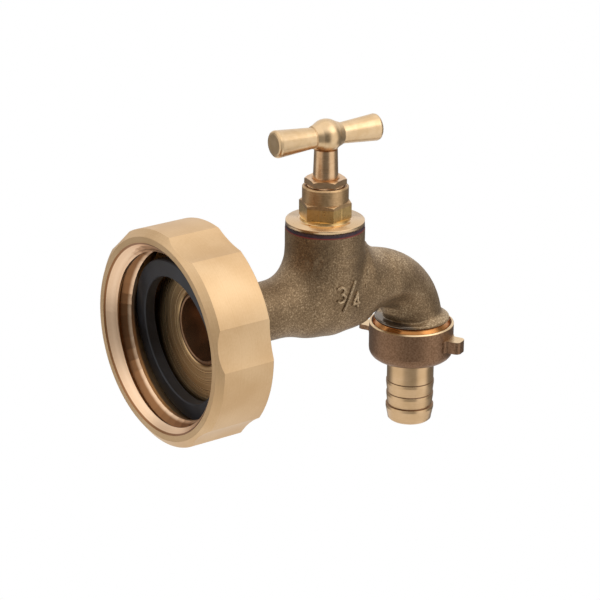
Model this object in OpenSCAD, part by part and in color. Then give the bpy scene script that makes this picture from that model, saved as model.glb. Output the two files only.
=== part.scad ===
// Tap adapter for a bulk liquid container.
// A wide swivel nut with a coarse buttress thread clamps a flanged bush
// against the container's outlet, and the bush carries a bib tap with a
// union nut and a hose tail.
//
// Frame: origin on the swivel nut's axis, halfway along its thread. +X runs
// along the barrel towards the spout and +Z up along the spindle. Sizes are
// in millimetres. The tap is closed, and the union nut is done up.

/* [Swivel nut] */
// Outside diameter over the lands between the grip recesses
nut_d = 70; // [66:0.5:76]
// Length along the barrel
nut_l = 20.2; // [20:0.1:24]
// Number of grip recesses round the outside
recess_count = 6; // [3:1:10]
// Angle that one recess takes up, in degrees
recess_angle = 22; // [14:1:28]
// Depth of a recess in its middle
recess_depth = 1.35; // [1.1:0.05:1.8]
// Angle of the first recess from +Y towards +Z
recess_start = 49.3; // [0:0.1:60]

/* [Container thread] */
// Diameter over the crests of the internal thread
crest_d = 54.7; // [53:0.1:56]
// Depth of the thread from crest to root
thread_depth = 2.35; // [2:0.05:2.6]
// Axial pitch of the right-hand thread
pitch = 6; // [5.6:0.1:6.4]
// Width of a crest
crest_w = 1; // [0.8:0.1:1.4]
// Slope of the flank that faces the mouth, from the axis, in degrees
lead_flank = 40; // [36:1:50]
// Lean of the flank that takes the load, in degrees
load_flank = 10; // [3:1:14]
// Depth of the threaded part from the mouth
thread_l = 9.9; // [9.4:0.1:10.1]

/* [Seal and flanged bush] */
// Hole through the loose flat gasket
gasket_hole = 42; // [38:0.2:44]
// Thickness of the gasket
gasket_t = 3.6; // [2.6:0.1:3.8]
// Angle that the loose gasket leans out of square, in degrees
gasket_lean = 6.2; // [1:0.1:6.2]
// Diameter of the bush's hub
hub_d = 31.4; // [30:0.2:33]
// Hole through the bush, tapped for the tap's inlet
tapping_d = 24.2; // [23.8:0.1:24.6]
// Length of the whole bush
bush_l = 16; // [15:0.1:16.5]

/* [Tap body] */
// Distance from the nut's mouth to the spindle
reach = 65.5; // [64:0.1:72]
// Outside diameter of the barrel
barrel_d = 19.4; // [18.6:0.2:20.4]
// Bore of the barrel
barrel_bore = 13.6; // [12:0.2:14.4]
// Diameter of the bulb under the spindle
bulb_d = 25.5; // [24.5:0.1:26]
// Diameter of the neck that takes the bonnet
neck_d = 26; // [25.6:0.2:27]
// Height of the neck above the barrel's axis
neck_h = 24.25; // [23.8:0.05:26]
// Distance from the spindle to the outlet's axis
outlet_x = 37.15; // [36:0.05:40]
// Drop from the barrel's axis to the bottom of the outlet thread
outlet_drop = 23.6; // [23.4:0.1:23.8]
// Diameter of the outlet's machined collar
collar_d = 25.2; // [24.6:0.1:25.6]
// Diameter of the outlet thread
outlet_d = 25.9; // [25.6:0.1:26.2]
// Bore of the outlet
outlet_bore = 14.4; // [13:0.2:15.6]

/* [Headwork] */
// Thickness of the washer under the bonnet
washer_t = 1.4; // [1:0.1:1.8]
// Diameter of the bonnet's flange
bonnet_flange_d = 25.7; // [25:0.1:26]
// Thickness of the bonnet's flange
bonnet_flange_t = 1.4; // [1:0.1:1.6]
// Size of the bonnet's hexagon across its corners
bonnet_hex = 17.4; // [17:0.1:18]
// Diameter of the bonnet's barrel above the hexagon
bonnet_barrel_d = 15.1; // [14.4:0.1:15.4]
// Height of the bonnet above its flange's seat
bonnet_h = 13; // [12.6:0.1:14]
// Size of the gland nut's hexagon across its corners
gland_hex = 13.8; // [13.4:0.1:14.4]
// Diameter of the stem where it passes the gland
stem_d = 8.2; // [7.8:0.05:8.3]
// Diameter of the stem under the handle
stem_top_d = 7.6; // [7.4:0.05:7.7]
// Diameter of the spindle's thread
spindle_d = 10; // [9.6:0.1:10.2]

/* [Handle] */
// Height of the handle's bar above the barrel's axis
handle_h = 55; // [54.4:0.1:58]
// Distance between the ends of the bar
handle_l = 39.2; // [34:0.2:46]
// Diameter of an arm at its end
arm_end_d = 8.9; // [8:0.1:9.6]
// Diameter of an arm at the hub
arm_root_d = 6.8; // [6:0.1:7]
// Diameter of the round hub
hub_ball_d = 10.9; // [10.4:0.1:11.6]
// Angle of the bar from the barrel, in degrees
handle_turn = -4; // [-90:1:90]

/* [Hose union] */
// Diameter of the union nut
union_d = 28.6; // [28.4:0.1:29.6]
// Distance of the nut's top below the barrel's axis
union_top = 16.4; // [16.2:0.1:16.8]
// Height of the union nut
union_h = 13; // [12.8:0.1:13.6]
// Distance of a lug's tip from the axis
lug_reach = 19; // [18:0.1:21]
// Height of the near lug
lug_h = 4.2; // [3:0.1:4.6]
// Height of the far lug
far_lug_h = 1.7; // [1.5:0.1:4.6]
// Direction of the first lug from +X, in degrees
lug_turn = -64.6; // [-180:0.2:180]
// Diameter of the tail's plain shank
tail_d = 15.9; // [15.4:0.1:16.1]
// Distance of the tail's end below the barrel's axis
tail_end = 51.8; // [50.6:0.1:58]
// Number of barbs on the tail
barb_count = 3; // [2:1:3]
// Bore of the tail
tail_bore = 11.2; // [9:0.2:11.6]

/* [Hidden] */

$fn = 96;
eps = 0.01;

// fits
running = 0.05;      // radial clearance of a turning or sliding fit
loose = 0.3;         // clearance between pieces that only pass each other
screwed = 0.03;      // radial clearance of a screwed joint

// swivel nut, measured from its mouth
nut_r = nut_d / 2;
crest_r = crest_d / 2;
root_r = crest_r + thread_depth;
nose_l = 1.9;
nose_r = nut_r - 2.3;
lead_in_r = root_r + 1.1;
lead_in_l = 1;
pocket_r = root_r + 1.4;
hub_hole_r = hub_d / 2 + loose;
boss_r = hub_hole_r + 7;
boss_h = 1.7;        // the low boss round the hole in the nut's back
crest_start = (lead_in_r - crest_r) * lead_in_l / (lead_in_r - root_r);
crest_end_x = 3.6;   // end of the first crest at angle 0
crest_land = 1.6;    // length of the front crests, which are the tightest
crest_run = 7.18;    // where the parallel crests end, before the loose gasket
crest_relief = 0.05; // how far the crests open behind each of the two
thread_steps = 48;
mouth_x = -(crest_start + thread_l) / 2;

// bush and gasket
gasket_r = crest_r - 0.65;
gasket_x = 10;       // front of the gasket on the axis
gasket_turn = 31.5;  // its forward side, from the top towards -Y
gasket_side = 35.3;  // where it lies on the pocket's wall, from below towards +Y
gasket_drop = pocket_r - gasket_r - 0.15;
flange_r = pocket_r - 0.5;
bush_x = 16.5;
flange_back = bush_x + 1.8;
pocket_end = flange_back + loose;
tapping_r = tapping_d / 2;
bush_end_x = bush_x + bush_l;

// tap body
inlet_x = bush_x;    // the inlet's end is flush with the bush's face
inlet_thread_r = tapping_r - screwed;
inlet_bore_r = inlet_thread_r - 1.57;
inlet_bore_l = 12;   // depth of the wide bore, before it narrows to the barrel's
inlet_cone_l = 3;
barrel_x = bush_end_x + 0.6;
spindle_x = reach + mouth_x;
neck_r = neck_d / 2;
bulb_r = bulb_d / 2;
barrel_rise = 0.3;
blend_top = 18.5;    // height where the barrel's fillet has run out
neck_lap = 1;        // the turned neck starts this far below that height
neck_cut = 0.03;     // and stands this far proud of the casting
pivot_x = 23;        // the spout's sections fan out about this line
pivot_z = -14.5;
bend_r = outlet_x - pivot_x;
spout_r = 9.75;      // radius of the spout in the bend
ray_count = 44;
ray_limit = 32;      // farther from a centre than any point of the casting
seat_z = 4.95;
seat_r = 5;
chamber_floor = 3.2;
chamber_r = 10;
under_passage_r = 5;
under_passage_z = -4;
inlet_way_end = -14; // where the wide inlet way stops, from the spindle
spout_way_r = 6;

// headwork, heights above the barrel's axis
flange_seat = neck_h + washer_t;
flange_top = flange_seat + bonnet_flange_t;
boss_top = flange_top + 1.4;
hex_top = boss_top + 5.1;
bonnet_top = flange_seat + bonnet_h;
skirt_bottom = 14;
screw_top = 32.5;
box_floor = 34;      // floor of the stuffing box
box_r = 5.9;
gland_top = bonnet_top + 2.4;
hub_bottom = handle_h - 4.4;
hub_bore_r = 3.3;
spindle_bottom = 10.2;
spindle_thread_top = 25.2;
plunger_bore_top = 21;
plunger_top = plunger_bore_top - 0.8;
plunger_r = 2.4;
plate_bottom = 7.6;
plate_top = 9.6;
plate_r = 6.9;
rubber_r = plate_r - 0.5;
stud_r = 1.5;
stud_nut_t = 2;
stud_nut_top = seat_z + running;
stud_bottom = stud_nut_top - stud_nut_t - 0.6;
packing_h = 2.2;

// hose union, heights below the barrel's axis
union_r = union_d / 2;
union_bottom = union_top + union_h;
union_floor = union_bottom - 2.2;
lug_drop = 3.9;      // depth of a lug's upper face below the nut's top
tail_r = tail_d / 2;
tail_flange_r = 12;
tail_flange_top = outlet_drop + 1.8;
barb_pitch = 4.45;
first_barb = 37.4;

swivel_nut();
gasket();
flanged_bush();
tap_body();
bonnet_washer();
bonnet();
gland_packing();
gland_nut();
spindle();
tee_handle();
jumper();
tap_washer();
washer_nut();
union_nut();
tail_washer();
hose_tail();

// Turns an outline of [distance from the mouth, radius] about the barrel.
module turn_x(outline) {
    translate([mouth_x, 0, 0])
        rotate([90, 0, 90])
            rotate_extrude()
                polygon([for (p = outline) [p[1], p[0]]]);
}

// Turns an outline of [radius, height] about the spindle.
module turn_spindle(outline) {
    translate([spindle_x, 0, 0])
        rotate_extrude()
            polygon(outline);
}

// Turns an outline of [radius, depth below the barrel's axis] about the outlet.
module turn_outlet(outline) {
    translate([spindle_x + outlet_x, 0, 0])
        rotate_extrude()
            polygon([for (p = outline) [p[0], -p[1]]]);
}

// A hexagonal prism with its upper corners turned off at 30 degrees.
module chamfered_hex(across, z0, z1, turned, flat_top_r) {
    slope = tan(30);
    reach_r = across / 2 + 1;
    intersection() {
        translate([0, 0, z0])
            rotate([0, 0, turned])
                cylinder(d = across, h = z1 - z0, $fn = 6);
        rotate_extrude()
            polygon([
                [0, z0 - 1],
                [reach_r, z0 - 1],
                [reach_r, z1 - (reach_r - flat_top_r) * slope],
                [flat_top_r, z1],
                [0, z1]
            ]);
    }
}

// A ring of the nut's metal with the mouth, the crest bore and the pocket.
module nut_blank() {
    turn_x([
        [0, lead_in_r],
        [0, nose_r],
        [nose_l, nut_r],
        [nut_l - 0.2, nut_r],
        [nut_l, nut_r - 0.2],
        [nut_l, boss_r],
        [nut_l + boss_h, boss_r - 0.6],
        [nut_l + boss_h, hub_hole_r],
        [pocket_end, hub_hole_r],
        [pocket_end, pocket_r],
        [thread_l, pocket_r],
        [thread_l, crest_r + 2 * crest_relief],
        [crest_run, crest_r + crest_relief],
        [crest_start + crest_land, crest_r + crest_relief],
        [crest_start + crest_land, crest_r],
        [crest_start, crest_r]
    ]);
}

// The helical groove as one closed strip of four-sided sections.
module thread_groove() {
    inner_r = crest_r - 0.45;
    depth = root_r - inner_r;
    root_start = crest_end_x + thread_depth * tan(load_flank);
    root_end = crest_end_x + pitch - crest_w - thread_depth / tan(lead_flank);
    section = [
        [root_start - depth * tan(load_flank), inner_r],
        [root_start, root_r],
        [root_end, root_r],
        [root_end + depth / tan(lead_flank), inner_r]
    ];
    turns = [-1.7, 1.35];
    count = ceil((turns[1] - turns[0]) * thread_steps);
    points = [
        for (i = [0 : count], s = section)
            let (turn = turns[0] + i / thread_steps)
            [s[0] + turn * pitch, s[1] * cos(360 * turn), s[1] * sin(360 * turn)]
    ];
    sides = [
        for (i = [0 : count - 1], j = [0 : 3])
            [4 * i + j, 4 * i + (j + 1) % 4, 4 * i + 4 + (j + 1) % 4, 4 * i + 4 + j]
    ];
    ends = [[3, 2, 1, 0], [for (j = [0 : 3]) 4 * count + j]];
    polyhedron(concat(points), concat(sides, ends), convexity = 8);
}

// The nut that screws onto the container, with finger recesses round it.
module swivel_nut() {
    // a recess is a round-bottomed scallop between two corners on the rim
    half_chord = nut_r * sin(recess_angle / 2);
    sagitta = recess_depth - nut_r * (1 - cos(recess_angle / 2));
    scallop_r = (half_chord * half_chord + sagitta * sagitta) / (2 * sagitta);
    color("#d9bc85")
        difference() {
            nut_blank();
            translate([mouth_x, 0, 0])
                thread_groove();
            for (i = [0 : recess_count - 1])
                rotate([recess_start + i * 360 / recess_count, 0, 0])
                    translate([mouth_x - 1, nut_r - recess_depth + scallop_r, 0])
                        rotate([0, 90, 0])
                            cylinder(r = scallop_r, h = nut_l + 2, $fn = 180);
        }
}

// The gasket lies loose in the nut until the nut is screwed on. It leans
// forward at the top, and its lower side rests in the pocket.
module gasket() {
    bead = 0.35;
    inner = gasket_hole / 2;
    color("#26272a")
        translate([
            mouth_x + gasket_x,
            gasket_drop * sin(gasket_side),
            -gasket_drop * cos(gasket_side)
        ])
            rotate([gasket_turn, 0, 0])
                rotate([0, -gasket_lean, 0])
                    rotate([90, 0, 90])
                        rotate_extrude()
                            polygon([
                                [inner + bead, 0],
                                [gasket_r - bead, 0],
                                [gasket_r, bead],
                                [gasket_r, gasket_t - bead],
                                [gasket_r - bead, gasket_t],
                                [inner, gasket_t],
                                [inner, bead]
                            ]);
}

// The bush that the swivel nut clamps, tapped for the tap's inlet.
module flanged_bush() {
    color("#b9935a")
        turn_x([
            [bush_x, tapping_r + 0.3],
            [bush_x, flange_r],
            [flange_back, flange_r],
            [flange_back, hub_d / 2],
            [bush_end_x - 1, hub_d / 2],
            [bush_end_x, hub_d / 2 - 1],
            [bush_end_x, tapping_r + 0.8],
            [bush_end_x - 0.8, tapping_r],
            [bush_x + 0.3, tapping_r]
        ]);
}

// A value that eases from 0 to 1 between a and b.
function ease(a, b, v) =
    let (t = max(0, min(1, (v - a) / (b - a))))
    t * t * (3 - 2 * t);

// Smooth union of two distances over a width k.
function blend(a, b, k) =
    let (h = max(k - abs(a - b), 0) / k)
    min(a, b) - h * h * k / 4;

// Height of the spout's centre line between the spindle and the bend.
function centre_z(x) =
    let (t = max(0, x) / pivot_x, end_z = pivot_z + bend_r + 1.1)
    barrel_rise * (1 - ease(-10, 6, x))
    + pivot_x * 0.35 * (t * t * t - 2 * t * t + t)
    + end_z * (3 * t * t - 2 * t * t * t)
    - pivot_x * 0.18 * (t * t * t - t * t);

// Radius of the casting's tube at x, before and after the bulb.
function tube_r(x) = barrel_d / 2 + 2.6 * ease(0, 13, x) - 0.7 * ease(15, pivot_x, x);

// Radius of the tube in the bend at an angle of 0 to 90 degrees.
function bend_tube_r(a) =
    spout_r + 1.95 * pow(max(0, 1 - a / 60), 2) + 0.45 * pow(max(0, (a - 65) / 25), 2);

// Distance to the bulb and the neck: a ball below, a slightly wider post above.
function neck_distance(p) =
    p[2] < 0
    ? norm(p) - bulb_r
    : norm([p[0], p[1]]) - bulb_r - (neck_r - neck_cut - bulb_r) * ease(0, blend_top, p[2]);

// Distance to the whole casting at a point r from a section's centre.
function casting_distance(p, r, tube) =
    let (k = p[0] < 0
        ? 10 - 7.5 * ease(-12, 0, p[0])
        : 2.5 + 7.5 * ease(6, 13, p[0]) * ease(2, 9, p[2])
        + 5.5 * ease(0, 9, p[0]) * ease(0, -8, p[2]))
    max(blend(r - tube, neck_distance(p), k), p[2] - blend_top);

// Finds the surface along one ray by halving.
function surface_r(c, d, tube, low, high, n) =
    let (mid = (low + high) / 2)
    n == 0
    ? mid
    : casting_distance(c + mid * d, mid, tube) > 0
    ? surface_r(c, d, tube, low, mid, n - 1)
    : surface_r(c, d, tube, mid, high, n - 1);

// One section: its centre, its upward direction in the plane and its radius.
function section_ring(c, up, tube) = [
    for (i = [0 : ray_count - 1])
        let (
            a = 360 * i / ray_count,
            d = [up[0] * cos(a), sin(a), up[2] * cos(a)],
            r = surface_r(c, d, tube, tube * 0.7, ray_limit, 15)
        )
        c + r * d
];

// The outside of the casting from the barrel to the top of the outlet, as
// rings of points about the centre line. The rings stand upright as far as
// the bend, where they fan out about the pivot.
module casting() {
    start = barrel_x - reach;
    near = [for (x = [-21 : 1.5 : -15]) x];
    side = [11.4, 12.1, 12.6, 12.9, 13.4, 14.2];
    close = [for (i = [len(side) - 1 : -1 : 0]) -side[i]];
    middle = [for (x = [-10 : 2 : 10]) x];
    last = [for (x = [15.5 : 1.5 : 21.5]) x];
    stations = concat([start, -24], near, close, middle, side, last);
    straight = [
        for (x = stations)
            section_ring([x, 0, centre_z(x)], [0, 0, 1], tube_r(x))
    ];
    bend = [
        for (a = [0 : 7.5 : 90])
            let (r = bend_r + 1.1 * pow(1 - a / 90, 3))
            section_ring(
                [pivot_x + r * sin(a), 0, pivot_z + r * cos(a)],
                [sin(a), 0, cos(a)],
                bend_tube_r(a)
            )
    ];
    rings = concat(straight, bend);
    n = ray_count;
    points = [for (ring = rings, p = ring) p];
    sides = [
        for (i = [0 : len(rings) - 2], j = [0 : n - 1], half = [0, 1])
            let (a = n * i + j, b = n * i + (j + 1) % n)
            half == 0 ? [a, b + n, a + n] : [a, b, b + n]
    ];
    ends = [
        [for (j = [0 : n - 1]) n - 1 - j],
        [for (j = [0 : n - 1]) n * (len(rings) - 1) + j]
    ];
    polyhedron(points, concat(sides, ends), convexity = 6);
}

// The machined outlet: a collar that flares out of the casting, a run-out
// groove and the thread for the union nut.
module outlet_end() {
    top = -pivot_z - 0.3;
    collar = 14.4;
    turn_outlet([
        [0, top - 3],
        [spout_r - 1, top - 3],
        [10.2, top - 1.6],
        [collar_d / 2, collar],
        [collar_d / 2, collar + 0.6],
        [outlet_d / 2 - 1.2, collar + 0.9],
        [outlet_d / 2 - 1.2, collar + 1.6],
        [outlet_d / 2, collar + 2.2],
        [outlet_d / 2, outlet_drop - 0.8],
        [outlet_d / 2 - 0.8, outlet_drop],
        [0, outlet_drop]
    ]);
}

// The inlet's threaded end.
module inlet_end() {
    turn_x([
        [inlet_x, 0],
        [inlet_x, inlet_thread_r - 0.4],
        [inlet_x + 0.4, inlet_thread_r],
        [barrel_x - 1.4, inlet_thread_r],
        [barrel_x - 0.6, barrel_d / 2 - 0.3],
        [barrel_x + 0.6, barrel_d / 2 - 0.3],
        [barrel_x + 0.6, 0]
    ]);
}

// The passages: along the barrel, under the seat, up through it into the
// chamber, and from the chamber down the spout.
module waterway() {
    way_start = [3.5, 0, 9.2];
    way_end = [pivot_x, 0, pivot_z + bend_r + 0.6];
    run = way_end - way_start;
    // the wide bore of the inlet's end, then the barrel's
    turn_x([
        [inlet_x - 1, 0],
        [inlet_x - 1, inlet_bore_r + 1.2],
        [inlet_x + 0.2, inlet_bore_r],
        [inlet_x + inlet_bore_l, inlet_bore_r],
        [inlet_x + inlet_bore_l + inlet_cone_l, barrel_bore / 2],
        [reach + inlet_way_end, barrel_bore / 2],
        [reach + inlet_way_end, 0]
    ]);
    translate([spindle_x, 0, 0]) {
        translate([inlet_way_end - 2, 0, under_passage_z])
            rotate([0, 90, 0])
                cylinder(r = under_passage_r, h = seat_r - inlet_way_end + 2);
        translate([0, 0, under_passage_z])
            cylinder(r = seat_r, h = 12);
        // chamber above the seat, leaving a raised lip round the hole
        rotate_extrude()
            polygon([
                [seat_r - eps, seat_z],
                [seat_r + 1.2, seat_z],
                [seat_r + 1.7, chamber_floor],
                [chamber_r - 0.8, chamber_floor],
                [chamber_r, chamber_floor + 0.8],
                [chamber_r, neck_h + 1],
                [0, neck_h + 1],
                [0, seat_z]
            ]);
        translate(way_start)
            rotate([0, acos(run[2] / norm(run)), 0])
                cylinder(r = spout_way_r, h = norm(run));
        translate([pivot_x, 0, pivot_z])
            rotate([90, 0, 0])
                rotate_extrude(angle = 90)
                    translate([bend_r + 0.6, 0])
                        circle(r = spout_way_r);
        translate([outlet_x, 0, -outlet_drop - 1])
            cylinder(d = outlet_bore, h = outlet_drop + 1 + pivot_z + 1.5);
    }
}

// The casting with its machined ends, neck and passages.
module tap_body() {
    color("#7d6846")
        difference() {
            union() {
                translate([spindle_x, 0, 0])
                    casting();
                translate([spindle_x, 0, blend_top - neck_lap])
                    cylinder(r = neck_r, h = neck_h - blend_top + neck_lap);
                inlet_end();
                outlet_end();
            }
            waterway();
        }
}

// The fibre washer under the bonnet's flange.
module bonnet_washer() {
    color("#4a1c22")
        translate([spindle_x, 0, neck_h])
            difference() {
                cylinder(r = neck_r - 0.1, h = washer_t);
                translate([0, 0, -1])
                    cylinder(r = chamber_r + 0.1, h = washer_t + 2);
            }
}

// The bonnet: a skirt in the neck, a flange, a hexagon and a stuffing box.
module bonnet() {
    screw_r = spindle_d / 2 + running;
    stem_r = stem_d / 2 + running;
    color("#c69f5e")
        difference() {
            union() {
                turn_spindle([
                    [0, skirt_bottom],
                    [chamber_r - screwed - 0.8, skirt_bottom],
                    [chamber_r - screwed, skirt_bottom + 0.8],
                    [chamber_r - screwed, flange_seat],
                    [bonnet_flange_d / 2, flange_seat],
                    [bonnet_flange_d / 2, flange_top - 0.15],
                    [bonnet_flange_d / 2 - 0.15, flange_top],
                    [bonnet_hex / 2 + 0.5, flange_top],
                    [bonnet_hex / 2 + 0.1, flange_top + 0.4],
                    [bonnet_hex / 2 + 0.1, boss_top - 0.3],
                    [bonnet_hex / 2 - 0.4, boss_top],
                    [bonnet_barrel_d / 2, boss_top + 0.5],
                    [bonnet_barrel_d / 2, bonnet_top - 0.5],
                    [bonnet_barrel_d / 2 - 0.5, bonnet_top],
                    [0, bonnet_top]
                ]);
                translate([spindle_x, 0, 0])
                    chamfered_hex(bonnet_hex, boss_top - 0.4, hex_top, 10.9,
                                  bonnet_barrel_d / 2 + 0.1);
            }
            turn_spindle([
                [0, skirt_bottom - 1],
                [7.4, skirt_bottom - 1],
                [7.4, skirt_bottom + 2],
                [screw_r, skirt_bottom + 4.4],
                [screw_r, screw_top],
                [stem_r, screw_top],
                [stem_r, box_floor],
                [box_r, box_floor],
                [box_r, bonnet_top + 1],
                [0, bonnet_top + 1]
            ]);
        }
}

// The packing ring round the stem.
module gland_packing() {
    color("#8d8a80")
        translate([spindle_x, 0, box_floor])
            difference() {
                cylinder(r = box_r - screwed, h = packing_h);
                translate([0, 0, -1])
                    cylinder(r = stem_d / 2 + running, h = packing_h + 2);
            }
}

// The nut that squeezes the packing.
module gland_nut() {
    nose_z = box_floor + packing_h;
    collar_r = box_r + 0.05;
    color("#b48a4c")
        difference() {
            union() {
                turn_spindle([
                    [0, nose_z],
                    [box_r - screwed, nose_z],
                    [box_r - screwed, bonnet_top],
                    [collar_r, bonnet_top],
                    [collar_r - 0.3, bonnet_top + 0.5],
                    [0, bonnet_top + 0.5]
                ]);
                translate([spindle_x, 0, 0])
                    chamfered_hex(gland_hex, bonnet_top + 0.4, gland_top, 18.9,
                                  gland_hex / 2 - 0.7);
            }
            turn_spindle([
                [0, nose_z - 1],
                [stem_d / 2 + running, nose_z - 1],
                [stem_d / 2 + running, gland_top - 0.5],
                [stem_d / 2 + 0.6, gland_top],
                [stem_d / 2 + 0.6, gland_top + 1],
                [0, gland_top + 1]
            ]);
        }
}

// The spindle: a screw in the bonnet, a stem, and a spigot for the handle.
module spindle() {
    plunger_bore = plunger_r + running;
    color("#c79d5d")
        turn_spindle([
            [plunger_bore, spindle_bottom],
            [spindle_d / 2 - 0.7, spindle_bottom],
            [spindle_d / 2, spindle_bottom + 0.7],
            [spindle_d / 2, spindle_thread_top],
            [stem_d / 2, spindle_thread_top + 0.9],
            [stem_d / 2, gland_top],
            [stem_top_d / 2, hub_bottom],
            [hub_bore_r, hub_bottom],
            [hub_bore_r, handle_h + 1.6],
            [0, handle_h + 1.6],
            [0, plunger_bore_top + 1.4],
            [plunger_bore, plunger_bore_top]
        ]);
}

// The tee: a ball hub with a flat where each arm starts, and two arms that
// widen towards their slightly rounded ends.
module tee_handle() {
    collar_x = 4.5;
    end_x = handle_l / 2;
    block = 2 * hub_ball_d;
    color("#dcbb82")
        translate([spindle_x, 0, handle_h])
            rotate([0, 0, handle_turn])
                difference() {
                    union() {
                        intersection() {
                            sphere(d = hub_ball_d, $fn = 96);
                            cube([2 * collar_x + 0.6, block, block], center = true);
                        }
                        for (side = [0, 180])
                            rotate([0, 90, side])
                                rotate_extrude()
                                    polygon([
                                        [0, 2],
                                        [arm_root_d / 2, 2],
                                        [arm_root_d / 2, collar_x],
                                        [arm_end_d / 2, end_x - 1.1],
                                        [arm_end_d / 2 - 0.15, end_x - 0.5],
                                        [arm_end_d / 2 - 0.6, end_x - 0.12],
                                        [arm_end_d / 2 - 1.2, end_x],
                                        [0, end_x]
                                    ]);
                    }
                    // flat under the hub, and the hole that takes the spindle
                    translate([-block / 2, -block / 2, hub_bottom - handle_h - block])
                        cube(block);
                    translate([0, 0, hub_bottom - handle_h - 1])
                        cylinder(r = hub_bore_r + 0.01, h = handle_h + 1.62 - hub_bottom + 1);
                }
}

// The jumper that the spindle pushes down: a plunger, a plate and a stud.
module jumper() {
    color("#b98f52")
        turn_spindle([
            [0, stud_bottom],
            [stud_r, stud_bottom],
            [stud_r, plate_bottom],
            [plate_r, plate_bottom],
            [plate_r, plate_top - 0.4],
            [plate_r - 0.4, plate_top],
            [plunger_r, plate_top],
            [plunger_r, plunger_top - 0.6],
            [plunger_r - 0.5, plunger_top],
            [0, plunger_top]
        ]);
}

// The rubber washer that closes on the seat.
module tap_washer() {
    thickness = plate_bottom - stud_nut_top;
    color("#1f1f21")
        translate([spindle_x, 0, plate_bottom - thickness])
            difference() {
                cylinder(r = rubber_r, h = thickness);
                translate([0, 0, -1])
                    cylinder(r = stud_r + screwed, h = thickness + 2);
            }
}

// The small nut that holds the washer on the stud.
module washer_nut() {
    color("#b98f52")
        translate([spindle_x, 0, stud_nut_top - stud_nut_t])
            difference() {
                cylinder(r = 2.2 * stud_r, h = stud_nut_t, $fn = 6);
                translate([0, 0, -1])
                    cylinder(r = stud_r + screwed, h = stud_nut_t + 2);
            }
}

// One ear of the union nut: flared at the root and rounded at the tip.
module lug(turned, height) {
    root = union_r - 1;
    half_w = 2.7;
    flare = 1.6;
    corner = 1.7;
    rotate([0, 0, turned])
        translate([0, 0, -union_top - lug_drop - height])
            linear_extrude(height)
                difference() {
                    union() {
                        translate([root, -half_w - flare])
                            square([flare + 0.6, 2 * (half_w + flare)]);
                        translate([root, -half_w])
                            square([lug_reach - corner - root, 2 * half_w]);
                        translate([root, corner - half_w])
                            square([lug_reach - root, 2 * (half_w - corner)]);
                        for (side = [-1, 1])
                            translate([lug_reach - corner, side * (half_w - corner)])
                                circle(r = corner, $fn = 48);
                    }
                    for (side = [-1, 1])
                        translate([root + 0.6 + flare, side * (half_w + flare)])
                            circle(r = flare, $fn = 48);
                }
}

// The union nut: a cup with rounded lower edge and two lugs.
module union_nut() {
    round_r = 3.6;
    curve = 6;
    color("#8a6b48")
        difference() {
            union() {
                turn_outlet(concat(
                    [
                        [0, union_top],
                        [union_r - 0.4, union_top],
                        [union_r, union_top + 0.4]
                    ],
                    [
                        for (i = [0 : curve])
                            let (a = 90 * i / curve)
                            [union_r - round_r * (1 - cos(a)),
                             union_bottom - round_r * (1 - sin(a))]
                    ],
                    [[0, union_bottom]]
                ));
                // the far ear is cut shallower than the near one
                translate([spindle_x + outlet_x, 0, 0]) {
                    lug(lug_turn, lug_h);
                    lug(lug_turn + 180, far_lug_h);
                }
            }
            turn_outlet([
                [0, union_top - 1],
                [outlet_d / 2 + 0.6, union_top - 1],
                [outlet_d / 2 + 0.6, union_top + 0.5],
                [outlet_d / 2 + running, union_top + 1],
                [outlet_d / 2 + running, outlet_drop + 0.6],
                [tail_flange_r + loose, outlet_drop + 1.2],
                [tail_flange_r + loose, union_floor],
                [tail_r + loose, union_floor],
                [tail_r + loose, union_bottom + 1],
                [0, union_bottom + 1]
            ]);
        }
}

// The washer that seals the tail against the outlet.
module tail_washer() {
    color("#2a2a2c")
        translate([spindle_x + outlet_x, 0, -tail_flange_top])
            difference() {
                cylinder(r = tail_flange_r, h = tail_flange_top - outlet_drop - running);
                translate([0, 0, -1])
                    cylinder(d = outlet_bore, h = tail_flange_top - outlet_drop + 2);
            }
}

// The barbed tail with the flange that the union nut holds.
module hose_tail() {
    flange_bottom = union_floor - 0.2;
    end_chamfer = 0.5;
    barb_rise = [0.34, 0.34, 0.62];
    color("#c9a56b")
        turn_outlet(concat(
            [
                [tail_bore / 2 + 0.6, tail_flange_top],
                [tail_flange_r, tail_flange_top],
                [tail_flange_r, flange_bottom],
                [tail_r, flange_bottom],
                [tail_r, first_barb]
            ],
            // each barb steps out sharply and falls away towards the end
            [
                for (i = [0 : barb_count - 1], k = [0 : 2])
                    let (
                        d = first_barb + i * barb_pitch,
                        valley = tail_r - 0.14 * (i + 1)
                    )
                    k == 0 ? [valley + barb_rise[i], d + 0.1] :
                    k == 1 ? [valley + barb_rise[i], d + 1.1] :
                    [valley - 0.05, d + barb_pitch - 0.1]
            ],
            [
                [tail_r - 0.55, tail_end - end_chamfer],
                [tail_r - 0.55 - end_chamfer, tail_end],
                [tail_bore / 2 + 0.5, tail_end],
                [tail_bore / 2, tail_end - 0.5],
                [tail_bore / 2, tail_flange_top + 0.6]
            ]
        ));
}
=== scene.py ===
"""The looks of a brass tap adapter for a bulk liquid container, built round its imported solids."""

import math

import bmesh
import bpy
from mathutils import Matrix, Vector
from mathutils.bvhtree import BVHTree


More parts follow.
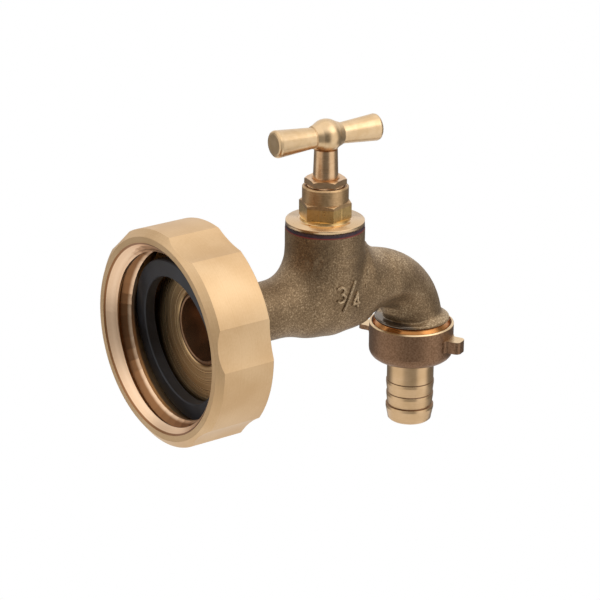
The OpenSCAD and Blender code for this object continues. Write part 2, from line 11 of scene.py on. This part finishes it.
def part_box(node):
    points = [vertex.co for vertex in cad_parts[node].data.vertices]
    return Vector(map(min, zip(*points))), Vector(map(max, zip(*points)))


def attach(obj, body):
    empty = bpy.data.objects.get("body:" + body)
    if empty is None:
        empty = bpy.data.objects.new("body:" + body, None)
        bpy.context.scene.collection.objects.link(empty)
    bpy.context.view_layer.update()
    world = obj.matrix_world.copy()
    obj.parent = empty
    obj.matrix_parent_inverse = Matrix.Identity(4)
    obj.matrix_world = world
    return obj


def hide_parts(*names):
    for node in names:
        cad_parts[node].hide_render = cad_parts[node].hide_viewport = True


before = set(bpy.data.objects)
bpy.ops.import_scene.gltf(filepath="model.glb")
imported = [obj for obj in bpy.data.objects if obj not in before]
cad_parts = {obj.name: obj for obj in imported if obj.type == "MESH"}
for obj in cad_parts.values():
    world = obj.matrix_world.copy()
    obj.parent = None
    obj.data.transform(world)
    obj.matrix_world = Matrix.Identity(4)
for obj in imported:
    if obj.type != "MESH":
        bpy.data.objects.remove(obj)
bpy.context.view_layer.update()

# The photograph's view: a long lens above the inlet's side of the tap. The place and the
# turns of the camera were solved from the circles of the nut, the neck and the union nut.
camera_at = Vector((-0.38530, -0.58615, 0.27703))
camera_azimuth = math.radians(-126.548)
camera_elevation = math.radians(20.713)
camera_roll = math.radians(0.496)
camera_data = bpy.data.cameras.new("camera")
camera_data.lens = 144.4
camera_data.sensor_width = 36
camera_data.clip_start = 0.05
camera = bpy.data.objects.new("camera", camera_data)
bpy.context.scene.collection.objects.link(camera)
bpy.context.scene.camera = camera
towards_camera = Vector((
    math.cos(camera_elevation) * math.cos(camera_azimuth),
    math.cos(camera_elevation) * math.sin(camera_azimuth),
    math.sin(camera_elevation),
))
level_right = (-towards_camera).cross(Vector((0, 0, 1))).normalized()
level_up = towards_camera.cross(level_right)
right = math.cos(camera_roll) * level_right + math.sin(camera_roll) * level_up
up = math.cos(camera_roll) * level_up - math.sin(camera_roll) * level_right
turn = Matrix((right, up, towards_camera)).transposed().to_4x4()
camera.matrix_world = Matrix.Translation(camera_at) @ turn


class Wire:
    """A socket in a node tree. Sums and products of wires add Math nodes."""

    def __init__(self, tree, socket=None):
        self.tree = tree
        self.socket = socket

    def node(self, kind, settings, inputs, output=0):
        """Any other node: its settings come first, then the values and links of its sockets."""
        made = self.tree.nodes.new("ShaderNode" + kind)
        for name, value in settings.items():
            if name == "stops":
                stops = made.color_ramp.elements
                while len(stops) < len(value):
                    stops.new(0.5)
                for stop, (place, colour) in zip(stops, value):
                    stop.position = place
                    stop.color = (*colour, 1)
            else:
                setattr(made, name, value)
        for name, value in inputs.items():
            if isinstance(value, Wire):
                self.tree.links.new(value.socket, made.inputs[name])
            else:
                made.inputs[name].default_value = value
        return Wire(self.tree, made.outputs[output] if made.outputs else None)

    def maths(self, operation, *others):
        return self.node("Math", {"operation": operation}, dict(enumerate((self, *others))))

    def __add__(self, other):
        return self.maths("ADD", other)

    def __mul__(self, other):
        return self.maths("MULTIPLY", other)

    def __sub__(self, other):
        return self.maths("SUBTRACT", other)

    def __rsub__(self, other):
        return self * -1 + other

    __radd__ = __add__
    __rmul__ = __mul__

    def split(self):
        """The three parts of a vector."""
        parts = self.node("SeparateXYZ", {}, {"Vector": self}).socket.node.outputs
        return [Wire(self.tree, part) for part in parts]

    def step(self, low, high):
        """0 below low and 1 above high, eased between them."""
        return self.node("MapRange", {"interpolation_type": "SMOOTHSTEP"},
                         {"Value": self, "From Min": low, "From Max": high})

    def between(self, low, high):
        """A colour that goes from low to high as this wire goes from 0 to 1."""
        ends = [end if isinstance(end, Wire) else (*end, 1) for end in (low, high)]
        return self.node("Mix", {"data_type": "RGBA"}, {0: self, 6: ends[0], 7: ends[1]}, 2)


# The studio: a pale floor well below the tap and a white surround. Two broad soft boxes
# stand left and right of the camera, light comes from overhead, and the room behind the
# camera is dark, so turned metal shows light bands beside dark ones.
scene = bpy.context.scene
scene.view_settings.view_transform = "Standard"
world = bpy.data.worlds.new("studio")
scene.world = world
world.use_nodes = True
world.node_tree.nodes.clear()
surround = Wire(world.node_tree)
turned = surround.node("VectorRotate", {"rotation_type": "Z_AXIS"},
                       {"Vector": surround.node("TexCoord", {}, {}, "Generated"),
                        "Angle": -camera_azimuth})
ahead, aside, height = turned.split()
bearing = aside.maths("ARCTAN2", ahead)


def soft_box(middle, half_width, edge, low, high):
    """Light from a box at a bearing from the camera, in degrees, between two heights."""
    off = (bearing - math.radians(middle)).maths("ABSOLUTE")
    across = 1 - off.step(math.radians(half_width - edge), math.radians(half_width + edge))
    return across * height.step(low - 0.15, low) * (1 - height.step(high, high + 0.2))


far_side = bearing.maths("ABSOLUTE").step(math.radians(100), math.radians(150))
backdrop = far_side * height.step(-0.25, 0.1) * (1 - height.step(0.7, 0.92))
studio = (
    soft_box(-68, 34, 9, -0.8, 0.55) * 0.85
    + soft_box(60, 27, 8, -0.8, 0.6) * 0.95
    + backdrop * 0.6
    + height.step(0.35, 0.85) * 1.05
    + 0.2
)
studio_colour = studio.node("CombineColor", {}, {"Red": studio, "Green": studio, "Blue": studio})
rays = surround.node("LightPath", {}, {}).socket.node.outputs
seen, mirrored, through = [
    Wire(surround.tree, rays[name])
    for name in ("Is Camera Ray", "Is Glossy Ray", "Is Transmission Ray")
]
white_seen = seen.maths("MAXIMUM", mirrored.maths("MAXIMUM", through) * backdrop)
surround_colour = white_seen.between(studio_colour, (1, 1, 1))
background = surround.node("Background", {}, {"Color": surround_colour, "Strength": 1})
surround.node("OutputWorld", {}, {"Surface": background})

floor_depth = 0.30
floor_radius = 0.5
mesh = bpy.data.meshes.new("floor")
shape = bmesh.new()
bmesh.ops.create_circle(shape, cap_ends=True, segments=96, radius=floor_radius)
bmesh.ops.translate(shape, verts=shape.verts, vec=(0, 0, -floor_depth))
shape.to_mesh(mesh)
shape.free()
floor = bpy.data.objects.new("floor", mesh)
scene.collection.objects.link(floor)
floor_material = bpy.data.materials.new("pale floor")
floor_material.use_nodes = True
floor_material.node_tree.nodes.clear()
start = Wire(floor_material.node_tree)
rays = start.node("LightPath", {}, {}).socket.node.outputs
straight, mirrored, through = [
    Wire(start.tree, rays[name])
    for name in ("Is Camera Ray", "Is Glossy Ray", "Is Transmission Ray")
]
pale = start.node("BsdfDiffuse", {}, {"Color": (0.8, 0.8, 0.8, 1)})
white = start.node("Emission", {}, {"Color": (1, 1, 1, 1), "Strength": 1})
white_seen = straight.maths("MAXIMUM", mirrored.maths("MAXIMUM", through))
surface = start.node("MixShader", {}, {0: white_seen, 1: pale, 2: white})
start.node("OutputMaterial", {}, {"Surface": surface})
floor.data.materials.append(floor_material)


def lamp(name, bearing_from_camera, elevation, distance, size, power):
    """A square soft lamp that looks at the tap, placed by its bearing from the camera."""
    aim = Vector((0.05, 0, 0))
    angle = camera_azimuth + math.radians(bearing_from_camera)
    tilt = math.radians(elevation)
    back = Vector((math.cos(angle) * math.cos(tilt), math.sin(angle) * math.cos(tilt), math.sin(tilt)))
    data = bpy.data.lights.new(name, "AREA")
    data.size = size
    data.energy = power
    made = bpy.data.objects.new(name, data)
    made.location = aim + back * distance
    made.rotation_mode = "QUATERNION"
    made.rotation_quaternion = (-back).to_track_quat("-Z", "Y")
    scene.collection.objects.link(made)


lamp("key lamp", 70, 48, 1.2, 0.9, 2)


def srgb(red, green, blue):
    """A colour as an eye sees it, 0 to 255, turned into the shader's linear values."""
    return tuple(
        part / 12.92 if part < 0.04045 else ((part + 0.055) / 1.055) ** 2.4
        for part in (red / 255, green / 255, blue / 255)
    )


def new_finish(name, **constants):
    """A material with one principled shader, and a wire to start its nodes from."""
    material = bpy.data.materials.new(name)
    material.use_nodes = True
    shader = material.node_tree.nodes["Principled BSDF"]
    for socket, value in constants.items():
        shader.inputs[socket.replace("_", " ")].default_value = value
    return material, Wire(material.node_tree)


def feed(material, **wires):
    """Links wires to the sockets of the material's shader."""
    shader = material.node_tree.nodes["Principled BSDF"]
    for socket, wire in wires.items():
        material.node_tree.links.new(wire.socket, shader.inputs[socket.replace("_", " ")])


def dress(material, *names):
    """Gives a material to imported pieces."""
    for name in names:
        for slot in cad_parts[name].material_slots:
            slot.material = material


def speckle(place, scale, detail=2.0):
    """Soft noise about a half, with blotches of 1 / scale metres."""
    return place.node("TexNoise", {}, {"Vector": place, "Scale": scale, "Detail": detail})


def lines(distance, scale, detail=3.0):
    """Uneven lines across a distance, as a cutting tool leaves them."""
    return distance.node("TexNoise", {"noise_dimensions": "1D"},
                         {"W": distance, "Scale": scale, "Detail": detail})


# The swivel nut: cast brass machined all over, with a satin face. Its finger recesses are
# milled, and the container's coarse thread is cut inside it.
nut_brass, start = new_finish("satin machined brass", Metallic=1.0)
place = start.node("TexCoord", {}, {}, "Object")
x, y, z = place.split()
from_axis = (y * y + z * z).maths("SQRT")
cut_marks = lines(from_axis + x * 0.9, 2500)
grain = speckle(place, 1400)
cloud = speckle(place, 60)
inside = 1 - from_axis.step(0.0307, 0.0309)
# The groove behind the first crest and a thin ring just inside the mouth are painted dark: painted shade in the
# thread.
groove = from_axis.step(0.0277, 0.0284) * x.step(-0.0041, -0.0037)
mouth_edge = from_axis.step(0.0301, 0.0303) * (1 - x.step(-0.0052, -0.0046))
painted_thread_shade = groove.maths("MAXIMUM", mouth_edge)
outer_tone = (cloud * 0.6 + grain * 0.2 + cut_marks * 0.2).step(0.3, 0.7).between(
    srgb(204, 168, 124), srgb(220, 188, 147))
crest_tone = cut_marks.step(0.3, 0.7).between(srgb(228, 190, 154), srgb(240, 206, 172))
inner_tone = painted_thread_shade.node("Mix", {"data_type": "RGBA"}, {0: painted_thread_shade, 6: crest_tone, 7: (*srgb(142, 100, 66), 1)}, 2)
feed(
    nut_brass,
    Base_Color=inside.node("Mix", {"data_type": "RGBA"}, {0: inside, 6: outer_tone, 7: inner_tone}, 2),
    Roughness=cut_marks * 0.14 + grain * 0.1 + 0.34 - inside * 0.12,
    Normal=start.node("Bump", {}, {"Strength": 0.4, "Distance": 0.00006, "Height": cut_marks + grain}),
)
dress(nut_brass, "swivel_nut")

# The gasket: a flat ring of black rubber that lies loose in the nut.
rubber, start = new_finish("black rubber", IOR=1.5)
place = start.node("TexCoord", {}, {}, "Object")
bloom = speckle(place, 120)
feed(
    rubber,
    Base_Color=bloom.step(0.3, 0.7).between(srgb(30, 30, 33), srgb(44, 45, 50)),
    Roughness=bloom * 0.2 + 0.46,
)
dress(rubber, "gasket", "tap_washer", "tail_washer")

# The flanged bush: turned brass, with the rings of the tool on its face.
turned_brass, start = new_finish("turned brass", Metallic=1.0)
place = start.node("TexCoord", {}, {}, "Object")
x, y, z = place.split()
from_axis = (y * y + z * z).maths("SQRT")
rings = lines(from_axis + x, 3000)
feed(
    turned_brass,
    Base_Color=rings.step(0.3, 0.7).between(srgb(158, 124, 84), srgb(214, 182, 136)),
    Roughness=rings * 0.2 + 0.2,
    Normal=start.node("Bump", {}, {"Strength": 0.6, "Distance": 0.00008, "Height": rings}),
)
dress(turned_brass, "flanged_bush", "jumper", "washer_nut")

# The tap body: one sand casting in brass, left raw, brown and grainy. Its neck, its inlet
# and its outlet are turned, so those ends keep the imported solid's crisp edges, and the cast
# skin between them is a finer mesh, drawn in under the spout as the real one is.
millimetre = 0.001
spindle_x = 0.058982
bend_x, bend_z, bend_radius = 23.0, -14.5, 14.15
outlet_x = bend_x + bend_radius
skin_ends = [((0.0285, 0, 0), (1, 0, 0)), ((0, 0, 0.0205), (0, 0, -1)), ((0, 0, -0.0141), (0, 0, 1))]


def ease(low, high, value):
    """0 below low and 1 above high, eased between them."""
    share = min(1, max(0, (value - low) / (high - low)))
    return share * share * (3 - 2 * share)


def between_points(points, value):
    """Straight lines through a short table of (place, amount)."""
    for (low, start_amount), (high, end_amount) in zip(points, points[1:]):
        if value <= high:
            share = max(0, (value - low) / (high - low))
            return start_amount + (end_amount - start_amount) * share
    return points[-1][1]


def drawn_in(corner):
    """Where a point of the cast skin goes: the underside is drawn in beside the outlet."""
    along, height = (corner.x - spindle_x) / millimetre, corner.z / millimetre
    aside = corner.y / millimetre
    angle = math.degrees(math.atan2(along - bend_x, height - bend_z))
    if along < bend_x:
        centre = (along, 0.75 + max(0, bend_x - along) * 0.05)
        depth = between_points([(11, 0), (13, 0.5), (15, 1.4), (17, 2.1), (19, 2.6), (23, 2.9)], along)
    else:
        reach = bend_radius + 1.1 * (1 - min(90, angle) / 90) ** 3
        centre = (bend_x + reach * math.sin(math.radians(angle)),
                  bend_z + reach * math.cos(math.radians(angle)))
        depth = between_points([(0, 2.9), (12, 2.5), (25, 1.9), (40, 1.2), (60, 0.6), (90, 0.45)], angle)
    out = Vector((along - outlet_x, aside))
    crotch = ease(-0.1, 0.55, -out.x / max(out.length, 0.001))
    if height < -10.5 and crotch > 0 and 8.6 < out.length < 12.5:
        lower = between_points([(10.5, 10.5), (12.2, 14.0), (14.1, 14.3)], -height)
        narrower = between_points([(9.75, 9.3), (10.2, 9.7), (12.2, 12.2)], out.length)
        out *= 1 + crotch * (narrower / out.length - 1)
        height += crotch * (-lower - height)
        return Vector((outlet_x + out.x + spindle_x / millimetre, out.y, height)) * millimetre
    down = Vector((along - centre[0], aside, height - centre[1]))
    distance = down.length
    inward = Vector((bend_x - centre[0], 0, bend_z - centre[1])) if along >= bend_x else Vector((0, 0, -1))
    facing = down.dot(inward.normalized()) / max(distance, 0.001)
    depth *= ease(-0.05, 0.6, facing) * ease(7.4, 8.4, distance)
    return corner - down.normalized() * depth * millimetre


def merged_copy(name):
    """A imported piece's mesh as an editable copy, with its loose triangles joined."""
    made = bmesh.new()
    made.from_mesh(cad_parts[name].data)
    bmesh.ops.remove_doubles(made, verts=made.verts, dist=1e-6)
    return made


def keep_beyond(shape, place, normal):
    """Cuts away what lies on the side of a plane that its normal points at."""
    bmesh.ops.bisect_plane(
        shape, geom=shape.verts[:] + shape.edges[:] + shape.faces[:], dist=1e-7,
        plane_co=place, plane_no=normal, clear_outer=True,
    )


shape = merged_copy("tap_body")
skin_mesh = bpy.data.meshes.new("cast skin")
shape.to_mesh(skin_mesh)
shape.free()
skin = bpy.data.objects.new("cast skin", skin_mesh)
scene.collection.objects.link(skin)
remesh = skin.modifiers.new("remesh", "REMESH")
remesh.mode = "VOXEL"
remesh.voxel_size = 0.00042
fine_mesh = bpy.data.meshes.new_from_object(skin.evaluated_get(bpy.context.evaluated_depsgraph_get()))
bpy.data.objects.remove(skin)
shape = bmesh.new()
shape.from_mesh(fine_mesh)
for place, normal in skin_ends:
    keep_beyond(shape, place, [-part for part in normal])
for vert in shape.verts:
    vert.co = drawn_in(vert.co)
middle = [vert for vert in shape.verts if not vert.is_boundary]
for _ in range(6):
    bmesh.ops.smooth_vert(shape, verts=middle, factor=0.5, use_axis_x=True, use_axis_y=True, use_axis_z=True)
surface_of_skin = BVHTree.FromBMesh(shape)
for place, normal in skin_ends:
    turned_end = merged_copy("tap_body")
    keep_beyond(turned_end, place, normal)
    turned_end.to_mesh(fine_mesh)
    turned_end.free()
    shape.from_mesh(fine_mesh)

# The size figures stand up from the pattern: plain strokes, pressed on the casting's side in
# the direction in which its mould opens. Two short lines of flash lie beside them.
three = [(-1.15, 1.9), (-0.5, 2.5), (0.4, 2.5), (1.1, 1.9), (1.15, 1.0), (0.6, 0.35), (-0.1, 0.2),
         (0.8, 0.05), (1.35, -0.7), (1.3, -1.7), (0.6, -2.45), (-0.5, -2.55), (-1.3, -1.9)]
four = [(1.45, -1.1), (-1.5, -1.1), (0.55, 2.6), (0.55, -2.6)]
strokes = [
    ([(56.3 + x, 5.2 + z) for x, z in three], 0.44),
    ([(57.1, -0.9), (61.8, 9.0)], 0.44),
    ([(62.6 + x, 2.0 + z) for x, z in four], 0.44),
    ([(68.5, 10.9), (68.2, 9.3)], 0.2),
    ([(67.3, 6.3), (67.2, 5.2)], 0.2),
]
for path, thickness in strokes:
    curve = bpy.data.curves.new("stroke", "CURVE")
    curve.dimensions = "3D"
    curve.bevel_depth = thickness * millimetre
    curve.bevel_resolution = 2
    curve.use_fill_caps = True
    dots = []
    for (x0, z0), (x1, z1) in zip(path, path[1:]):
        steps = max(1, round(math.hypot(x1 - x0, z1 - z0) / 0.4))
        dots += [(x0 + (x1 - x0) * i / steps, z0 + (z1 - z0) * i / steps) for i in range(steps)]
    line = curve.splines.new("POLY")
    line.points.add(len(dots))
    for point, (x, z) in zip(line.points, [*dots, path[-1]]):
        hit = surface_of_skin.ray_cast(Vector((x * millimetre, -0.03, z * millimetre)), Vector((0, 1, 0)))[0]
        point.co = (hit.x, hit.y - thickness * 0.75 * millimetre, hit.z, 1)
    bead = bpy.data.objects.new("stroke", curve)
    scene.collection.objects.link(bead)
    bead_mesh = bpy.data.meshes.new_from_object(bead.evaluated_get(bpy.context.evaluated_depsgraph_get()))
    bpy.data.objects.remove(bead)
    for face in bead_mesh.polygons:
        face.material_index = 1
    shape.from_mesh(bead_mesh)
for face in shape.faces:
    face.smooth = True
casting_mesh = bpy.data.meshes.new("tap_casting")
shape.to_mesh(casting_mesh)
shape.free()
casting_mesh.set_sharp_from_angle(angle=math.radians(38))
raised = casting_mesh.attributes.new("raised", "FLOAT", "FACE")
for face in casting_mesh.polygons:
    raised.data[face.index].value = face.material_index
    face.material_index = 0
casting = bpy.data.objects.new("tap_casting", casting_mesh)
scene.collection.objects.link(casting)
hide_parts("tap_body")
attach(casting, "tap")

cast_brass, start = new_finish("raw cast brass", Metallic=0.85)
coordinates = start.node("TexCoord", {}, {})
place = Wire(start.tree, coordinates.socket.node.outputs["Object"])
facing = Wire(start.tree, coordinates.socket.node.outputs["Normal"])
grit = speckle(place, 2000, 2)
fine = speckle(place, 4500, 1)
cloud = speckle(place, 110, 3)
tone = grit * 0.5 + fine * 0.3 + cloud * 0.2
x, y, z = place.split()
off_x = x - (outlet_x * millimetre + spindle_x)
from_outlet = (off_x * off_x + y * y).maths("SQRT")
low = 1 - z.step(-0.0156, -0.0152)
crotch = (1 - z.step(-0.0141, -0.0138)) * from_outlet.step(0.0097, 0.0100) * (1 - off_x.step(-0.009, -0.006))
in_bore = 1 - (y * y + z * z).maths("SQRT").step(0.0088, 0.0090)
bore = (1 - x.step(0.0280, 0.0284)).maths("MAXIMUM", in_bore * (1 - x.step(0.050, 0.055)))
# Lighter low on the spout's outer side, and lighter where the skin faces up near the outlet; the second is a painted
# highlight.
pale_low_spout_and_top_highlight = (1 - z.step(-0.0143, -0.0118)) * off_x.step(-0.002, 0.006)
# The raised figures are painted lighter than the skin round them: a painted highlight.
painted_figure_highlight = start.node("Attribute", {"attribute_name": "raised"}, {}, "Fac")
pale_low_spout_and_top_highlight = pale_low_spout_and_top_highlight.maths("MAXIMUM", facing.split()[2].step(0.45, 0.95) * x.step(0.066, 0.074) * 0.7)
skin_tone = tone.node(
    "ValToRGB",
    {"stops": [(0.34, srgb(98, 79, 58)), (0.47, srgb(128, 105, 78)),
                   (0.56, srgb(149, 125, 95)), (0.68, srgb(200, 175, 141)), (0.9, srgb(252, 232, 198))]},
    {"Fac": tone + pale_low_spout_and_top_highlight * 0.12 + painted_figure_highlight * 0.13},
)
# The turned ends carry painted light in their colour: the outlet collar's side is painted deep orange, a painted
# reflection of the union nut's rim; the collar top in the crotch is painted dark grey and the inlet end and its bore
# dark brown, both painted shade.
turned = low.maths("MAXIMUM", crotch).maths("MAXIMUM", bore)
painted_end_shade_and_reflection = bore.node("Mix", {"data_type": "RGBA"}, {
    0: bore, 6: low.between(srgb(116, 104, 92), srgb(190, 128, 70)), 7: (*srgb(126, 94, 68), 1)}, 2)
feed(
    cast_brass,
    Base_Color=turned.node("Mix", {"data_type": "RGBA"}, {0: turned, 6: skin_tone, 7: painted_end_shade_and_reflection}, 2),
    Roughness=0.62 - grit * 0.2 - turned * 0.3,
    Normal=start.node("Bump", {}, {
        "Strength": 0.3, "Distance": 0.00012, "Height": (grit + fine * 0.5) * (1 - turned),
    }),
)
casting_mesh.materials.append(cast_brass)

# The washer under the bonnet is dark fibre with a red lower ply, and the packing in the
# bonnet is pale yarn.
fibre, start = new_finish("dark red fibre", Roughness=0.6)
place = start.node("TexCoord", {}, {}, "Object")
washer_bottom, washer_top = (corner.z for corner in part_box("bonnet_washer"))
flecks = speckle(place, 900).step(0.35, 0.65)
ply = place.split()[2].step(washer_bottom + 0.00025, washer_bottom + 0.0004)
feed(fibre, Base_Color=ply.between(srgb(132, 44, 40), flecks.between(srgb(44, 28, 36), srgb(66, 38, 46))))
dress(fibre, "bonnet_washer")
yarn, start = new_finish("pale packing", Roughness=0.8)
place = start.node("TexCoord", {}, {}, "Object")
feed(yarn, Base_Color=speckle(place, 1500).step(0.35, 0.65).between(srgb(150, 146, 130), srgb(196, 192, 176)))
dress(yarn, "gland_packing")

# The bonnet, gland nut, spindle and handle: bar brass turned to a bright finish, with the
# fine rings of the tool and a little haze.
bright_brass, start = new_finish("bright turned brass", Metallic=1.0)
place = start.node("TexCoord", {}, {}, "Object")
haze = speckle(place, 500)
rings = lines(place.split()[2], 6000)
feed(
    bright_brass,
    Base_Color=haze.step(0.3, 0.7).between(srgb(206, 168, 128), srgb(216, 180, 140)),
    Roughness=haze * 0.04 + rings * 0.1 + 0.22,
    Normal=start.node("Bump", {}, {"Strength": 0.2, "Distance": 0.00002, "Height": rings}),
)
dress(bright_brass, "gland_nut", "spindle")


def turned_ring(outline, axis, sides=96):
    """A full turn of an outline of points in a plane through the axis."""
    made = bmesh.new()
    verts = [made.verts.new(point) for point in outline]
    edges = [made.edges.new(pair) for pair in zip(verts, verts[1:])]
    bmesh.ops.spin(made, geom=verts + edges, cent=(0, 0, 0), axis=axis, dvec=(0, 0, 0),
                   angle=2 * math.pi, steps=sides, use_merge=True, use_duplicate=False)
    bmesh.ops.remove_doubles(made, verts=made.verts, dist=1e-7)
    bmesh.ops.recalc_face_normals(made, faces=made.faces)
    return made


def finish_piece(shape, name, node, body, material, sharp=30):
    """Turns a shape into a piece that stands for a packed one."""
    for face in shape.faces:
        face.smooth = True
    made = bpy.data.meshes.new(name)
    shape.to_mesh(made)
    shape.free()
    made.set_sharp_from_angle(angle=math.radians(sharp))
    made.materials.append(material)
    piece = bpy.data.objects.new(name, made)
    scene.collection.objects.link(piece)
    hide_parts(node)
    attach(piece, body)


# The bonnet's hexagon stands on a narrower turned collar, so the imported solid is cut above
# its collar, the hexagon is drawn down with a plain lower edge, and the collar is turned anew.
flange_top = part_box("bonnet_washer")[1].z + 0.0014
hexagon_cut, hexagon_bottom = flange_top + 0.0030, flange_top + 0.0011
shape = merged_copy("bonnet")
keep_beyond(shape, (0, 0, hexagon_cut), (0, 0, -1))
rim = [
    edge for edge in shape.edges
    if edge.is_boundary and all(math.hypot(v.co.x - spindle_x, v.co.y) > 0.0071 for v in edge.verts)
]
for depth, share in ((hexagon_bottom, 1), (hexagon_bottom, 0.8)):
    drawn = bmesh.ops.extrude_edge_only(shape, edges=rim)["geom"]
    for vert in (part for part in drawn if isinstance(part, bmesh.types.BMVert)):
        vert.co = (spindle_x + (vert.co.x - spindle_x) * share, vert.co.y * share, depth)
    rim = [part for part in drawn if isinstance(part, bmesh.types.BMEdge)]
lower = merged_copy("bonnet")
keep_beyond(lower, (0, 0, flange_top + 0.00001), (0, 0, 1))
collar_outline = [(9.3, -0.02), (8.5, 0.02), (8.3, 0.12), (8.2, 0.3), (8.2, 1.1), (8.0, 1.2), (6.2, 1.2)]
collar = turned_ring([(r * millimetre, 0, h * millimetre) for r, h in collar_outline], (0, 0, 1))
bmesh.ops.translate(collar, verts=collar.verts, vec=(spindle_x, 0, flange_top))
spare = bpy.data.meshes.new("bonnet part")
for part in (lower, collar):
    part.to_mesh(spare)
    part.free()
    shape.from_mesh(spare)
bonnet_brass, start = new_finish("brushed bonnet brass", Metallic=1.0)
place = start.node("TexCoord", {}, {}, "Object")
z = place.split()[2]
rings = lines(z, 5000)
grain = speckle(place, 1100)
barrel = z.step(flange_top + 0.0049, flange_top + 0.0055)
disc = 1 - z.step(flange_top + 0.0001, flange_top + 0.0003)
hexagon_tone = grain.step(0.3, 0.7).between(srgb(222, 184, 120), srgb(232, 194, 130))
barrel_tone = (rings * 0.5 + grain * 0.5).step(0.3, 0.7).between(srgb(172, 138, 98), srgb(200, 166, 124))
tone = barrel.node("Mix", {"data_type": "RGBA"}, {0: barrel, 6: hexagon_tone, 7: barrel_tone}, 2)
feed(
    bonnet_brass,
    Base_Color=disc.node("Mix", {"data_type": "RGBA"}, {0: disc, 6: tone, 7: (*srgb(216, 184, 144), 1)}, 2),
    Roughness=grain * 0.1 + barrel * 0.12 + 0.24,
    Normal=start.node("Bump", {}, {"Strength": 0.3, "Distance": 0.00003, "Height": rings + grain * 0.2}),
)
finish_piece(shape, "bonnet_turned", "bonnet", "tap", bonnet_brass)
made = bpy.data.objects["bonnet_turned"].data
normals = [corner.vector.copy() for corner in made.corner_normals]
for face in made.polygons:
    places = [made.vertices[index].co for index in face.vertices]
    outward = [Vector((place.x - spindle_x, place.y, 0)) for place in places]
    on_barrel = all(abs(part.length - 0.00755) < 0.00003 for part in outward)
    if abs(face.normal.z) < 0.05 and face.center.z > hexagon_bottom:
        for corner, part in zip(face.loop_indices, outward):
            normals[corner] = part.normalized() if on_barrel else face.normal.copy()
made.normals_split_custom_set(normals)

# The tee handle: turned from bar in one piece, a ball between two arms that widen towards
# their ends, with a shoulder at each side of the ball. It is flat below, on the spindle.
ball_r, handle_turn = 5.45, math.radians(-4)
half_outline = [(ball_r * math.sin(math.radians(a)), ball_r * math.cos(math.radians(a))) for a in range(0, 37, 3)]
half_outline += [(4.9, 3.78), (5.1, 3.7), (5.14, 3.56), (5.3, 3.54), (5.36, 3.4), (18.4, 4.42),
                 (18.55, 4.45), (19.1, 4.3), (19.45, 3.9), (19.6, 3.3), (19.6, 0)]
outline = [(-along, radius) for along, radius in reversed(half_outline[1:])] + half_outline
shape = turned_ring([(along * millimetre, 0, radius * millimetre) for along, radius in outline], (1, 0, 0))
cut = bmesh.ops.bisect_plane(
    shape, geom=shape.verts[:] + shape.edges[:] + shape.faces[:], dist=1e-7,
    plane_co=(0, 0, -0.0044), plane_no=(0, 0, -1), clear_outer=True,
)["geom_cut"]
bmesh.ops.contextual_create(shape, geom=[part for part in cut if isinstance(part, bmesh.types.BMEdge)])
bmesh.ops.rotate(shape, verts=shape.verts, cent=(0, 0, 0), matrix=Matrix.Rotation(handle_turn, 3, "Z"))
bmesh.ops.translate(shape, verts=shape.verts, vec=(spindle_x, 0, 0.055))
bar_brass, start = new_finish("satin turned bar brass", Metallic=1.0)
place = start.node("TexCoord", {}, {}, "Object")
haze = speckle(place, 400)
rings = lines(place.split()[0], 7000)
feed(
    bar_brass,
    Base_Color=haze.step(0.3, 0.7).between(srgb(210, 178, 136), srgb(220, 190, 150)),
    Roughness=haze * 0.04 + rings * 0.1 + 0.24,
    Normal=start.node("Bump", {}, {"Strength": 0.2, "Distance": 0.00002, "Height": rings}),
)
finish_piece(shape, "tee_handle_turned", "tee_handle", "handle", bar_brass, sharp=14)

# The union nut: a cast brass cup with two lugs, brown outside. Its rim is turned bright, and
# the lugs are milled flat and pale on top.
union_brass, start = new_finish("brown cast brass", Metallic=0.95)
coordinates = start.node("TexCoord", {}, {})
place = Wire(start.tree, coordinates.socket.node.outputs["Object"])
facing = Wire(start.tree, coordinates.socket.node.outputs["Normal"])
x, y, z = place.split()
off_x = x - (outlet_x * millimetre + spindle_x)
from_outlet = (off_x * off_x + y * y).maths("SQRT")
grit = speckle(place, 1800)
upward = facing.split()[2].step(0.75, 0.9)
milled = (z.step(-0.0169, -0.0167) + upward * from_outlet.step(0.0139, 0.0142)).maths("MINIMUM", 1)
cast_tone = grit.step(0.3, 0.7).between(srgb(122, 92, 68), srgb(146, 114, 88))
feed(
    union_brass,
    Base_Color=milled.node("Mix", {"data_type": "RGBA"}, {0: milled, 6: cast_tone, 7: (*srgb(226, 196, 154), 1)}, 2),
    Roughness=0.5 - grit * 0.12 - milled * 0.12,
    Normal=start.node("Bump", {}, {"Strength": 0.25, "Distance": 0.00008, "Height": grit}),
)
dress(union_brass, "union_nut")

# The hose tail: turned from bar, with three barbs and a dull, even finish.
tail_brass, start = new_finish("turned tail brass", Metallic=1.0)
place = start.node("TexCoord", {}, {}, "Object")
z = place.split()[2]
rings = lines(z, 5000)
haze = speckle(place, 300)
# Thin dark lines at the barbs' shoulders are painted shade.
first_barb, barb_pitch = -0.0374, 0.00445
turns = (z * (-1 / barb_pitch) + first_barb / barb_pitch).maths("FRACT")
in_row = (1 - z.step(-0.0373, -0.0370)) * z.step(-0.0495, -0.0490)
painted_barb_shade = (turns.step(0.95, 0.98) + 1 - turns.step(0.01, 0.04)) * in_row * 0.8
bar_tone = (haze * 0.5 + rings * 0.5).step(0.3, 0.7).between(srgb(198, 164, 122), srgb(214, 180, 140))
feed(
    tail_brass,
    Base_Color=painted_barb_shade.node("Mix", {"data_type": "RGBA"}, {0: painted_barb_shade, 6: bar_tone, 7: (*srgb(104, 72, 52), 1)}, 2),
    Roughness=rings * 0.1 + haze * 0.04 + painted_barb_shade * 0.2 + 0.24,
    Normal=start.node("Bump", {}, {"Strength": 0.15, "Distance": 0.00002, "Height": rings}),
)
dress(tail_brass, "hose_tail")
